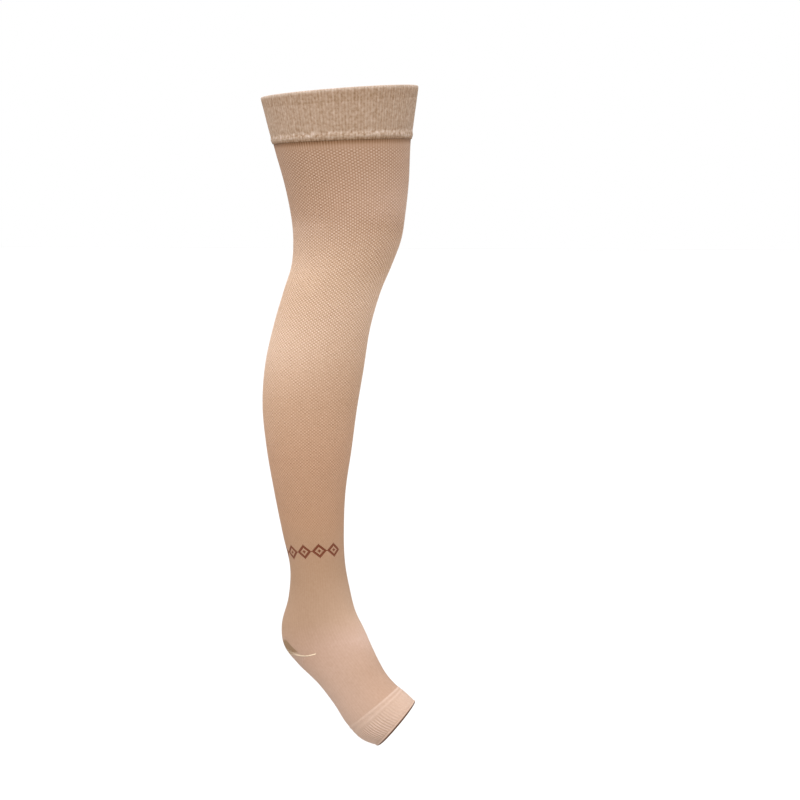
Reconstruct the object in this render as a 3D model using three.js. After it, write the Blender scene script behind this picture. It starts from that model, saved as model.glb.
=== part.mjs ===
// Thigh-high compression stocking with an open toe, in the hollow form that it takes when worn.
// Millimetres, +Z up. The origin is the middle of the top opening, where the stocking is held.
// +X points from the back of the leg to the front, where the toes are, and +Y to the outer side
// of a left leg.
//
// The cloth is one circular knit. Its rings run round the leg from the top welt to the toe
// opening, and each knitted zone is a wall of its own: the turned thigh band, the leg, the heel
// pocket, the foot and the turned toe band.

import * as THREE from 'three';

// Driving sizes.
const CLOTH = 1.2; // thickness of one layer of the knit
const SEAM = 0.3; // gap between two zones where they are joined
const TAU = 2 * Math.PI;

// The rings of the worn tube, from the top to the toe. front and back give the x and z of the
// ring's foremost and rearmost points. wide is half the width from side to side and side is how
// far the ring's middle lies towards the outer side. egg widens the front half, square fills out
// the back half, and skew swings the near side of the ring forward, as at the toes. A value that
// a row leaves out is zero.
const RINGS = [
  { at: 'welt top', front: [94, 6.5], back: [-95, -8.5], wide: 88 },
  { at: 'welt seam', front: [86, -57.5], back: [-79.5, -64], wide: 79, side: -1 },
  { at: 'thigh', front: [84, -108], back: [-65, -112], wide: 72, side: -2 },
  { at: 'above knee', front: [80.5, -148], back: [-56, -152], wide: 66, side: -4 },
  { at: 'knee', front: [76, -178], back: [-54, -182], wide: 60, side: -5, egg: 0.02 },
  { at: 'knee hollow', front: [63.5, -210], back: [-57, -210], wide: 56, side: -5, egg: 0.04 },
  { at: 'below knee', front: [49.5, -242], back: [-66.5, -238], wide: 54, side: -4, egg: -0.02 },
  { at: 'calf head', front: [36.5, -285], back: [-80, -280], wide: 53, side: -3, egg: -0.06 },
  { at: 'calf', front: [28, -334], back: [-91.5, -328], wide: 53, side: -2, egg: -0.08 },
  { at: 'low calf', front: [19.5, -382], back: [-95, -378], wide: 51, side: -2, egg: -0.08 },
  { at: 'shank', front: [12.8, -430], back: [-90, -430], wide: 46, side: -2, egg: -0.06 },
  { at: 'low shin', front: [5.3, -480], back: [-81, -482], wide: 39, side: -2, egg: -0.02 },
  { at: 'above ankle', front: [3.2, -528], back: [-70.8, -532], wide: 34, side: -2, egg: 0.04 },
  { at: 'ankle', front: [4.8, -566], back: [-61.8, -572], wide: 31, side: -2, egg: 0.08 },
  { at: 'ankle bones', front: [10.8, -598], back: [-64, -608], wide: 33, side: -2, egg: 0.12 },
  { at: 'heel back', front: [18.2, -624], back: [-73.4, -640], wide: 34, side: -1, egg: 0.12, skew: 0.02 },
  { at: 'heel', front: [29.5, -645], back: [-71, -667], wide: 34, egg: 0.06, square: 0.1, skew: 0.05 },
  { at: 'low heel', front: [38, -662], back: [-53.3, -688.7], wide: 34, square: 0.2, skew: 0.1 },
  { at: 'arch', front: [47.4, -680], back: [-27, -712], wide: 35, egg: -0.04, square: 0.3, skew: 0.16 },
  { at: 'waist', front: [58, -697], back: [-7, -736], wide: 36, egg: -0.06, square: 0.3, skew: 0.22 },
  { at: 'instep', front: [70.8, -710.2], back: [8, -758], wide: 38, egg: -0.06, square: 0.3, skew: 0.28 },
  { at: 'ball', front: [85, -720.8], back: [27, -776], wide: 40, egg: -0.04, square: 0.3, skew: 0.33 },
  { at: 'toe edge', front: [96, -730.2], back: [49, -784], wide: 40, square: 0.3, skew: 0.364 },
];

// Places along the tube are counted in rings, so 1 is the welt seam and 22 the toe edge.
const TOP = 0;
const WELT_SEAM = 1;
const ABOVE_HEEL = 15;
const HEEL_LINE = 16.77;
const BELOW_HEEL = 18;
const TOE_SEAM = 20.2;
const TOE_EDGE = RINGS.length - 1;

// The heel pocket is a lens on the back of the tube, on both sides of the heel line. Its height
// is in rings, and it is full up to fullTo and ends at endAt, in turns from the middle of the back.
const HEEL_UPPER = { height: 1.17, fullTo: 0.078, endAt: 0.165 };
const HEEL_LOWER = { height: 0.62, fullTo: 0.03, endAt: 0.182 };

// Points round the walls.
const ROUND = 48; // leg, heel and foot, outside
const INSIDE = 24; // leg, inside
const RIBS = 144; // ribs round the thigh band
const TOE_RIBS = 72; // ribs round the toe band
const HEEL_COLUMNS = 8; // columns of the heel pocket on each side of its middle
const HEEL_ROWS = 6;

// Section of the thigh band, a doubled welt with a fold at the top and a thick joining roll at
// its lower edge. down is the distance below the top edge, out the height of its face over the
// leg's face, and rib how far its ribs stand in and out.
const BAND_LENGTH = 61;
const BAND_SECTION = [
  { at: 'fold', down: 0, out: -0.2, rib: 0, points: 96 },
  { at: 'shoulder', down: 1.6, out: 1, rib: 0.25, points: 2 * RIBS },
  { at: 'middle', down: 26, out: 0.9, rib: 0.35, points: 2 * RIBS },
  { at: 'above the roll', down: 50.5, out: 0.8, rib: 0.3, points: 2 * RIBS },
  { at: 'crest of the roll', down: 55, out: 1.6, rib: 0.2, points: 2 * RIBS },
  { at: 'foot of the roll', down: 59.5, out: 0.9, rib: 0.15, points: 2 * RIBS },
  { at: 'joining edge', down: BAND_LENGTH, out: 0, rib: 0, points: 96 },
  { at: 'lower inside', down: BAND_LENGTH, out: -CLOTH, rib: 0, points: 96 },
  { at: 'middle inside', down: 28, out: -CLOTH, rib: 0, points: 96 },
  { at: 'upper inside', down: 1.4, out: -CLOTH, rib: 0, points: 96 },
];

// Section of the toe band: two soft ridges where it is joined on, a ribbed part and a narrow
// rolled hem. along goes from 0 at the foot to 1 at the toe edge.
const TOE_SECTION = [
  { at: 'joining edge', along: 0, out: 0, rib: 0, points: ROUND },
  { at: 'first ridge', along: 0.05, out: 0.8, rib: 0, points: TOE_RIBS },
  { at: 'valley', along: 0.14, out: 0.2, rib: 0, points: TOE_RIBS },
  { at: 'second ridge', along: 0.21, out: 0.7, rib: 0, points: TOE_RIBS },
  { at: 'start of the ribs', along: 0.29, out: 0.2, rib: 0.2, points: 2 * TOE_RIBS },
  { at: 'end of the ribs', along: 0.85, out: 0.3, rib: 0.3, points: 2 * TOE_RIBS },
  { at: 'groove', along: 0.88, out: 0.05, rib: 0, points: TOE_RIBS },
  { at: 'hem', along: 0.95, out: 0.7, rib: 0, points: TOE_RIBS },
  { at: 'edge', along: 1, out: 0.1, rib: 0, points: TOE_RIBS },
  { at: 'inside of the edge', along: 0.995, out: -CLOTH, rib: 0, points: ROUND },
  { at: 'inside of the foot end', along: 0, out: -CLOTH, rib: 0, points: ROUND },
];

// A smooth curve through one column of the rings, at a place along the tube.
function along(column, place) {
  const last = RINGS.length - 1;
  const i = Math.min(Math.max(Math.floor(place), 0), last - 1);
  const f = place - i;
  const b = column(RINGS[i]);
  const c = column(RINGS[i + 1]);
  const a = i > 0 ? column(RINGS[i - 1]) : 2 * b - c;
  const d = i < last - 1 ? column(RINGS[i + 2]) : 2 * c - b;
  const bend = (2 * a - 5 * b + 4 * c - d) * f * f + (3 * b - a - 3 * c + d) * f * f * f;
  return (2 * b + (c - a) * f + bend) / 2;
}

// The ring at a place along the tube, as the sizes that its points are worked out from.
function ringAt(place) {
  const frontX = along((r) => r.front[0], place);
  const frontZ = along((r) => r.front[1], place);
  const backX = along((r) => r.back[0], place);
  const backZ = along((r) => r.back[1], place);
  return {
    middle: [(frontX + backX) / 2, (frontZ + backZ) / 2],
    half: [(frontX - backX) / 2, (frontZ - backZ) / 2],
    wide: along((r) => r.wide, place),
    side: along((r) => r.side ?? 0, place),
    egg: along((r) => r.egg ?? 0, place),
    square: along((r) => r.square ?? 0, place),
    skew: along((r) => r.skew ?? 0, place),
  };
}

// A point of a ring at an angle from its front, towards the outer side.
function ringPoint(ring, angle) {
  const c = Math.cos(angle);
  const depth = c >= 0 ? c : -(Math.abs(c) ** (1 / (1 + ring.square)));
  const across = ring.wide * Math.sin(angle) * (1 + ring.egg * c);
  return new THREE.Vector3(
    ring.middle[0] + ring.half[0] * depth - ring.skew * across,
    ring.side + across,
    ring.middle[1] + ring.half[1] * depth,
  );
}

// The angle that lies a given share of the way round a ring, measured along the cloth, so that
// the wales of the knit are evenly spaced.
const ARC_STEPS = 96;
const arcs = new Map();
function angleAt(place, turn) {
  if (!arcs.has(place)) {
    const ring = ringAt(place);
    const lengths = [0];
    for (let k = 1; k <= ARC_STEPS; k += 1) {
      const from = ringPoint(ring, ((k - 1) / ARC_STEPS) * TAU);
      lengths.push(lengths[k - 1] + from.distanceTo(ringPoint(ring, (k / ARC_STEPS) * TAU)));
    }
    arcs.set(place, lengths);
  }
  const lengths = arcs.get(place);
  const share = turn - Math.floor(turn);
  const target = share * lengths[ARC_STEPS];
  let k = 1;
  while (k < ARC_STEPS && lengths[k] < target) {
    k += 1;
  }
  const part = (target - lengths[k - 1]) / (lengths[k] - lengths[k - 1]);
  return ((k - 1 + part) / ARC_STEPS) * TAU;
}

// A point of the leg's face, from its place along the tube and its share of a turn.
function facePoint(place, turn) {
  return ringPoint(ringAt(place), angleAt(place, turn));
}

// A point that stands off the face by a height, along the outward normal.
const STEP = 0.01;
function clothPoint(place, turn, out) {
  const down = facePoint(Math.min(place + STEP, TOE_EDGE), turn);
  down.sub(facePoint(Math.max(place - STEP, TOP), turn));
  const round = facePoint(place, turn + STEP).sub(facePoint(place, turn - STEP));
  const normal = down.cross(round).normalize();
  return facePoint(place, turn).addScaledVector(normal, out);
}

// How many rings make one millimetre along the tube, at a place and turn.
function ringsPerMillimetre(place, turn) {
  const from = facePoint(Math.max(place - STEP, TOP), turn);
  const to = facePoint(Math.min(place + STEP, TOE_EDGE), turn);
  const rings = Math.min(place + STEP, TOE_EDGE) - Math.max(place - STEP, TOP);
  return rings / from.distanceTo(to);
}

// A loop of points round the tube. place and out may change with the turn.
function loop(points, place, out) {
  const result = [];
  for (let k = 0; k < points; k += 1) {
    const turn = k / points;
    const at = typeof place === 'function' ? place(turn) : place;
    const height = typeof out === 'function' ? out(k) : out;
    result.push(clothPoint(at, turn, height));
  }
  return result;
}

// The triangles between two closed loops that may have different numbers of points.
function strip(triangles, from, fromStart, to, toStart) {
  const a = from.length;
  const b = to.length;
  let i = 0;
  let j = 0;
  while (i < a || j < b) {
    const p = fromStart + (i % a);
    const q = toStart + (j % b);
    if (j >= b || (i < a && (i + 1) * b <= (j + 1) * a)) {
      triangles.push(p, q, fromStart + ((i + 1) % a));
      i += 1;
    } else {
      triangles.push(p, q, toStart + ((j + 1) % b));
      j += 1;
    }
  }
}

function geometryOf(points, triangles) {
  const geometry = new THREE.BufferGeometry();
  const flat = points.flatMap((p) => [p.x, p.y, p.z]);
  geometry.setAttribute('position', new THREE.Float32BufferAttribute(flat, 3));
  geometry.setIndex(triangles);
  geometry.computeVertexNormals();
  return geometry;
}

// A wall that closes on itself: loops down its outside, back up its inside, and round again.
function tubeWall(loops) {
  const points = loops.flat();
  const starts = [];
  let count = 0;
  for (const ring of loops) {
    starts.push(count);
    count += ring.length;
  }
  const triangles = [];
  loops.forEach((ring, k) => {
    const next = (k + 1) % loops.length;
    strip(triangles, ring, starts[k], loops[next], starts[next]);
  });
  return geometryOf(points, triangles);
}

// Evenly spaced places from one to another, with both ends.
function places(from, to, steps) {
  return Array.from({ length: steps + 1 }, (_, k) => from + ((to - from) * k) / steps);
}

function smooth(x) {
  const t = Math.min(Math.max(x, 0), 1);
  return t * t * (3 - 2 * t);
}

// How far the heel pocket reaches from the heel line, in rings, at a turn.
function heelReach(edge, turn) {
  const fromBack = Math.abs(turn - 0.5);
  return edge.height * smooth((edge.endAt - fromBack) / (edge.endAt - edge.fullTo));
}

const heelTop = (turn) => HEEL_LINE - heelReach(HEEL_UPPER, turn);
const heelBottom = (turn) => HEEL_LINE + heelReach(HEEL_LOWER, turn);

// A line moved by half the seam gap to one side, measured square to the line.
function besideLine(line, sign) {
  return (turn) => {
    const place = line(turn);
    const perMillimetre = ringsPerMillimetre(place, turn);
    const round = facePoint(place, turn + STEP).distanceTo(facePoint(place, turn - STEP));
    const rise = (line(turn + STEP) - line(turn - STEP)) / perMillimetre;
    const lean = Math.hypot(1, rise / round);
    return place + sign * (SEAM / 2) * lean * perMillimetre;
  };
}

function bandPlace(down) {
  return (down / BAND_LENGTH) * (WELT_SEAM - (SEAM / 2) * ringsPerMillimetre(WELT_SEAM, 0));
}

function ribOut(row) {
  return (k) => row.out + (k % 2 === 0 ? row.rib : -row.rib);
}

function thighBand() {
  return tubeWall(BAND_SECTION.map((row) => loop(row.points, bandPlace(row.down), ribOut(row))));
}

function legTube() {
  const start = WELT_SEAM + (SEAM / 2) * ringsPerMillimetre(WELT_SEAM, 0);
  const end = besideLine(heelTop, -1);
  const near = (turn) => ABOVE_HEEL + (end(turn) - ABOVE_HEEL) / 2;
  const outside = places(start, ABOVE_HEEL, 34).map((place) => loop(ROUND, place, 0));
  const inside = places(ABOVE_HEEL, start, 20).map((place) => loop(INSIDE, place, -CLOTH));
  const heelEnd = [loop(ROUND, near, 0), loop(ROUND, end, 0)];
  const heelEndInside = [loop(ROUND, end, -CLOTH), loop(ROUND, near, -CLOTH)];
  return tubeWall([...outside, ...heelEnd, ...heelEndInside, ...inside]);
}

function heelPocket() {
  const top = besideLine(heelTop, 1);
  const bottom = besideLine(heelBottom, -1);
  const columns = 2 * HEEL_COLUMNS + 1;
  const points = [];
  for (const out of [0, -CLOTH]) {
    for (let row = 0; row <= HEEL_ROWS; row += 1) {
      for (let column = 0; column < columns; column += 1) {
        const turn = 0.5 + (column - HEEL_COLUMNS) / ROUND;
        const place = top(turn) + ((bottom(turn) - top(turn)) * row) / HEEL_ROWS;
        points.push(clothPoint(place, turn, out));
      }
    }
  }
  const layer = columns * (HEEL_ROWS + 1);
  const at = (side, row, column) => side * layer + row * columns + column;
  const triangles = [];
  const quad = (a, b, c, d) => triangles.push(a, b, c, a, c, d);
  for (let row = 0; row < HEEL_ROWS; row += 1) {
    for (let column = 0; column < columns - 1; column += 1) {
      quad(at(0, row, column), at(0, row + 1, column), at(0, row + 1, column + 1), at(0, row, column + 1));
      quad(at(1, row, column), at(1, row, column + 1), at(1, row + 1, column + 1), at(1, row + 1, column));
    }
    const last = columns - 1;
    quad(at(0, row, 0), at(1, row, 0), at(1, row + 1, 0), at(0, row + 1, 0));
    quad(at(0, row, last), at(0, row + 1, last), at(1, row + 1, last), at(1, row, last));
  }
  for (let column = 0; column < columns - 1; column += 1) {
    quad(at(0, 0, column), at(0, 0, column + 1), at(1, 0, column + 1), at(1, 0, column));
    quad(
      at(0, HEEL_ROWS, column),
      at(1, HEEL_ROWS, column),
      at(1, HEEL_ROWS, column + 1),
      at(0, HEEL_ROWS, column + 1),
    );
  }
  return geometryOf(points, triangles);
}

function footTube() {
  const start = besideLine(heelBottom, 1);
  const near = (turn) => BELOW_HEEL + (start(turn) - BELOW_HEEL) / 2;
  const end = TOE_SEAM - (SEAM / 2) * ringsPerMillimetre(TOE_SEAM, 0.5);
  const outside = places(BELOW_HEEL, end, 6).map((place) => loop(ROUND, place, 0));
  const inside = places(end, BELOW_HEEL, 4).map((place) => loop(ROUND, place, -CLOTH));
  return tubeWall([
    loop(ROUND, start, 0),
    loop(ROUND, near, 0),
    ...outside,
    ...inside,
    loop(ROUND, near, -CLOTH),
    loop(ROUND, start, -CLOTH),
  ]);
}

function toeBand() {
  const start = TOE_SEAM + (SEAM / 2) * ringsPerMillimetre(TOE_SEAM, 0.5);
  const place = (row) => start + row.along * (TOE_EDGE - start);
  return tubeWall(TOE_SECTION.map((row) => loop(row.points, place(row), ribOut(row))));
}

// Knit of elastane covered with nylon: matt, beige, pinker on the foot.
function knit(name, colour) {
  const material = new THREE.MeshStandardMaterial({ color: colour, roughness: 0.85, metalness: 0 });
  material.name = name;
  return material;
}

const stocking = new THREE.Group();
stocking.name = 'compression stocking';

function addZone(name, geometry, material) {
  const mesh = new THREE.Mesh(geometry, material);
  mesh.name = name;
  stocking.add(mesh);
}

addZone('thigh_band', thighBand(), knit('beige welt knit', 0xb79a82));
addZone('leg_tube', legTube(), knit('beige leg knit', 0xc9a587));
addZone('heel_pocket', heelPocket(), knit('brown heel knit', 0xa4876d));
addZone('foot_tube', footTube(), knit('pink beige foot knit', 0xd0ae98));
addZone('toe_band', toeBand(), knit('pink beige toe knit', 0xe2bea8));

export default stocking;
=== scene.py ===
"""Thigh-high compression stocking with an open toe, in the hollow form that it takes when worn.

The cloth is one circular knit. Every piece is a knitted wall laid on one surface, which is given
by a place along the tube and a turn round it, and every pattern is counted in wales, the upright
columns of stitches, and courses, the rings of stitches.
"""

import math

import bmesh
import bpy
import numpy as np
from bpy.props import FloatProperty, FloatVectorProperty, IntProperty, PointerProperty
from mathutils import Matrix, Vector


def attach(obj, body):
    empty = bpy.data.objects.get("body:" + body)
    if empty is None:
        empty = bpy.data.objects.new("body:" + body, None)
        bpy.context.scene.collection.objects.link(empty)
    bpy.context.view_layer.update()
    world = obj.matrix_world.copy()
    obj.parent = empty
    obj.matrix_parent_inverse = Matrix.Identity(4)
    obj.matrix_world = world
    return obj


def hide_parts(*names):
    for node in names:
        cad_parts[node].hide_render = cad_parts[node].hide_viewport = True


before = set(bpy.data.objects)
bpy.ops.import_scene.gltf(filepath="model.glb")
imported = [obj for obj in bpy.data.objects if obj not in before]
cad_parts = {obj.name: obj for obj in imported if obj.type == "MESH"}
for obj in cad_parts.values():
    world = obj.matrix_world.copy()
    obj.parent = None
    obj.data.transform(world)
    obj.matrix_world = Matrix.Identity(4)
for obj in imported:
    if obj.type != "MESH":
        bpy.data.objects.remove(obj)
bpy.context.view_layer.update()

bl_info = {
    "name": "Compression stocking",
    "version": (1, 0, 0),
    "blender": (4, 5, 0),
    "location": "View3D > Sidebar > Stocking",
    "description": "Builds a knitted thigh-high stocking on its fixed frame",
    "category": "Object",
}

MM = 0.001
TAU = 2 * math.pi

# The rings of the worn tube in millimetres, from the top to the toe: the x and z of the foremost
# and of the rearmost point, half the width, how far the middle lies to the outer side, and the
# three values that shape the ring.
RING_COLUMNS = ("front_x", "front_z", "back_x", "back_z", "wide", "side", "egg", "square", "skew")
RINGS = {
    "welt top": (94, 6.5, -95, -8.5, 88, 0, 0, 0, 0),
    "welt seam": (86, -57.5, -79.5, -64, 79, -1, 0, 0, 0),
    "thigh": (84, -108, -65, -112, 72, -2, 0, 0, 0),
    "above knee": (80.5, -148, -56, -152, 66, -4, 0, 0, 0),
    "knee": (76, -178, -54, -182, 60, -5, 0.02, 0, 0),
    "knee hollow": (63.5, -210, -57, -210, 56, -5, 0.04, 0, 0),
    "below knee": (49.5, -242, -66.5, -238, 54, -4, -0.02, 0, 0),
    "calf head": (36.5, -285, -80, -280, 53, -3, -0.06, 0, 0),
    "calf": (28, -334, -91.5, -328, 53, -2, -0.08, 0, 0),
    "low calf": (19.5, -382, -95, -378, 51, -2, -0.08, 0, 0),
    "shank": (12.8, -430, -90, -430, 46, -2, -0.06, 0, 0),
    "low shin": (5.3, -480, -81, -482, 39, -2, -0.02, 0, 0),
    "above ankle": (3.2, -528, -70.8, -532, 34, -2, 0.04, 0, 0),
    "ankle": (4.8, -566, -61.8, -572, 31, -2, 0.08, 0, 0),
    "ankle bones": (10.8, -598, -64, -608, 33, -2, 0.12, 0, 0),
    "heel back": (18.2, -624, -73.4, -640, 34, -1, 0.12, 0, 0.02),
    "heel": (29.5, -645, -71, -667, 34, 0, 0.06, 0.1, 0.05),
    "low heel": (38, -662, -53.3, -688.7, 34, 0, 0, 0.2, 0.1),
    "arch": (47.4, -680, -27, -712, 35, 0, -0.04, 0.3, 0.16),
    "waist": (58, -697, -7, -736, 36, 0, -0.06, 0.3, 0.22),
    "instep": (70.8, -710.2, 8, -758, 38, 0, -0.06, 0.3, 0.28),
    "ball": (85, -720.8, 27, -776, 40, 0, -0.04, 0.3, 0.33),
    "toe edge": (96, -730.2, 49, -784, 40, 0, 0, 0.3, 0.364),
}

# Where along the tube, counted in rings, each colour of the leg and the foot stands. These colours
# follow the knit's stretch and also hold painted light and shade: the thigh darker, the knee and
# calf lighter.
TONE_PLACES = {
    "thigh": 1.6,
    "above_knee": 3,
    "knee": 5.4,
    "calf": 7.6,
    "low_calf": 8.8,
    "shank": 10.2,
    "shin": 11.7,
    "ankle": 13.4,
    "ankle_bones": 15.1,
    "heel_side": 16.5,
    "foot": 18.3,
}

# How much lighter the front looks than the back, at places counted in rings. The front is pale on
# the thigh and over the ankle, where the knit is stretched most, and dull round the knee; these
# tones are partly that stretch and partly painted light and shade from light falling from above.
FRONT_STRETCH_AND_PAINTED_LIGHT = (
    (1.6, 0.14), (2.5, 0.3), (2.9, 0.2), (3.4, -0.2), (4, -0.12), (5.1, -0.2), (5.6, -0.06),
    (6.2, 0.02), (6.8, -0.04), (7.3, -0.2), (7.8, -0.24), (8.7, -0.12), (10, 0), (13, 0.03),
    (15.6, 0.28), (16.6, 0.28), (17.5, 0), (18.4, -0.2),
)

# Places along the tube, counted in rings.
WELT_SEAM = 1
DOTS_FADE = (11.2, 12.8)
ABOVE_HEEL = 15
HEEL_LINE = 16.77
BELOW_HEEL = 18
TOE_SEAM = 20.2
TOE_EDGE = len(RINGS) - 1

# The heel pocket reaches this many rings up and down from the heel line. It is full up to the
# first turn from the middle of the back, and ends at the second.
HEEL_UPPER = (1.17, 0.078, 0.165)
HEEL_LOWER = (0.62, 0.03, 0.182)
HEEL_SIDE = 8 / 48

# A heel suture lies on a place, counted in rings, and runs between two turns from the middle of
# the back, and rises towards the back by so many rings. Its rows of stitches are given by how
# far each climbs further, in rings, where along the suture it starts, and the size of its first
# and its last stitch. A stitch is a bead, whose half sizes in millimetres are along, across and
# out. It leans by so many radians and its middle stands a little off the cloth.
SUTURE_PLACE = 16.76
SUTURE_RISE = 0.3
SUTURE_TURNS = (0.213, 0.048)
SUTURE_ROWS = ((0, 0, 1.35, 0.6), (0.14, 0.38, 0.8, 0.5), (0.27, 0.38, 0.7, 0.4))
SUTURE_STITCHES = 22
SUTURE_LEAN = 0.35
SUTURE_OFF = 0.15
BEAD = (0.95, 0.4, 0.35)

# Where the heel pocket turns from brown to pale, in rings.
HEEL_TONES_MEET = 16.45

# Darker knit is also richer in colour: the powers that a shade is raised to for red, green, blue.
RICHER = (0.75, 1.0, 1.35)


def linear(colour):
    """A linear RGB triple from an sRGB hex string, by the sRGB curve."""
    channels = (int(colour[i : i + 2], 16) / 255 for i in (0, 2, 4))
    return tuple(c / 12.92 if c <= 0.04045 else ((c + 0.055) / 1.055) ** 2.4 for c in channels)


def smooth(x):
    """0 below 0, 1 above 1, and the cubic 3x^2 - 2x^3 between."""
    t = np.clip(x, 0, 1)
    return t * t * (3 - 2 * t)


def ring_column(name, place):
    """One column of the rings at a place, by the Catmull-Rom curve through its values."""
    values = np.array([row[RING_COLUMNS.index(name)] for row in RINGS.values()], float)
    values = np.concatenate(([2 * values[0] - values[1]], values, [2 * values[-1] - values[-2]]))
    i = np.clip(np.floor(place).astype(int), 0, TOE_EDGE - 1)
    f = place - i
    a, b, c, d = (values[i + k] for k in range(4))
    bend = (2 * a - 5 * b + 4 * c - d) * f**2 + (3 * b - a - 3 * c + d) * f**3
    return (2 * b + (c - a) * f + bend) / 2


def ring_point(place, angle):
    """A point of the ring at a place and an angle from the front, in millimetres.

    Its depth runs from front to back as the cosine of the angle, filled out behind by square,
    and its width as the sine, made wider in front by egg. skew swings the near side forward.
    """
    column = {name: ring_column(name, place) for name in RING_COLUMNS}
    c = np.cos(angle)
    depth = np.where(c >= 0, c, -(np.abs(c) ** (1 / (1 + column["square"]))))
    across = column["wide"] * np.sin(angle) * (1 + column["egg"] * c)
    middle_x = (column["front_x"] + column["back_x"]) / 2
    middle_z = (column["front_z"] + column["back_z"]) / 2
    x = middle_x + (column["front_x"] - column["back_x"]) / 2 * depth - column["skew"] * across
    z = middle_z + (column["front_z"] - column["back_z"]) / 2 * depth
    return np.stack(np.broadcast_arrays(x, column["side"] + across, z), axis=-1)


TABLE_STEP = 0.05
TABLE_PLACES = np.arange(0, TOE_EDGE + TABLE_STEP / 2, TABLE_STEP)
TABLE_TURNS = np.linspace(0, 1, 193)


def angle_table():
    """The angle for each place and turn, so that equal turns are equal lengths of cloth."""
    angles = np.linspace(0, TAU, 385)
    points = ring_point(TABLE_PLACES[:, None], angles[None])
    steps = np.linalg.norm(np.diff(points, axis=1), axis=2)
    arcs = np.concatenate((np.zeros((len(steps), 1)), np.cumsum(steps, axis=1)), axis=1)
    return np.array([np.interp(TABLE_TURNS, arc / arc[-1], angles) for arc in arcs])


ANGLES = angle_table()


def face_point(place, turn):
    """A point of the cloth's face in millimetres, from its place and its turn."""
    place, turn = np.broadcast_arrays(np.asarray(place, float), np.asarray(turn, float))
    whole = np.floor(turn)
    p = np.clip(place / TABLE_STEP, 0, len(TABLE_PLACES) - 1.001)
    t = (turn - whole) * (len(TABLE_TURNS) - 1)
    i, j = p.astype(int), np.minimum(t.astype(int), len(TABLE_TURNS) - 2)
    u, v = p - i, t - j
    low = ANGLES[i, j] * (1 - v) + ANGLES[i, j + 1] * v
    high = ANGLES[i + 1, j] * (1 - v) + ANGLES[i + 1, j + 1] * v
    return ring_point(place, low * (1 - u) + high * u)


def cloth_point(place, turn, out):
    """A point in metres that stands out millimetres off the face, along its outward normal."""
    d = 0.02
    above, below = np.maximum(place - d, 0), np.minimum(place + d, TOE_EDGE)
    down = face_point(below, turn) - face_point(above, turn)
    around = face_point(place, turn + d / 2) - face_point(place, turn - d / 2)
    normal = np.cross(down, around)
    normal /= np.linalg.norm(normal, axis=-1, keepdims=True)
    return (face_point(place, turn) + normal * np.asarray(out)[..., None]) * MM


def length_table():
    """How much cloth lies between the top and each place, in millimetres, on the two sides."""
    points = face_point(TABLE_PLACES[:, None], np.array([[0.25, 0.75]]))
    steps = np.linalg.norm(np.diff(points, axis=0), axis=2).mean(axis=1)
    return np.concatenate(([0], np.cumsum(steps)))


LENGTHS = length_table()


def length_at(place):
    return np.interp(place, TABLE_PLACES, LENGTHS)


def place_at(length):
    return np.interp(length, LENGTHS, TABLE_PLACES)


def heel_reach(edge, turn):
    """How far the heel pocket reaches from the heel line, in rings."""
    height, full_to, ends_at = edge
    return height * smooth((ends_at - np.abs(turn - 0.5)) / (ends_at - full_to))


def beside_seam(line, side, turn):
    """The line of a heel seam, moved by half the seam's gap. Away from the heel it has no gap."""
    d = 0.004
    place = line(turn)
    along = face_point(place + d, turn) - face_point(place - d, turn)
    per_ring = np.linalg.norm(along, axis=-1) / (2 * d)
    around = np.linalg.norm(face_point(place, turn + d) - face_point(place, turn - d), axis=-1)
    rise = (line(turn + d) - line(turn - d)) * per_ring
    gap = sizes().seam_gap / MM * smooth((0.19 - np.abs(turn - 0.5)) / 0.02)
    return place + side * gap / 2 * np.hypot(1, rise / around) / per_ring


def heel_top(turn):
    return HEEL_LINE - heel_reach(HEEL_UPPER, turn)


def heel_bottom(turn):
    return HEEL_LINE + heel_reach(HEEL_LOWER, turn)


def mesh_object(name, points, quads, uvs, smooth_faces, material):
    """A mesh of quads whose corners carry the knit map: turns across and metres of cloth down."""
    mesh = bpy.data.meshes.new(name)
    mesh.from_pydata(points.reshape(-1, 3), [], quads)
    mesh.polygons.foreach_set("use_smooth", smooth_faces)
    layer = mesh.uv_layers.new(name="knit")
    layer.data.foreach_set("uv", uvs.astype(np.float32).ravel())
    mesh.materials.append(material)
    mesh.set_sharp_from_angle(angle=math.radians(60))
    piece = bpy.data.objects.new(name, mesh)
    bpy.context.scene.collection.objects.link(piece)
    return piece


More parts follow.
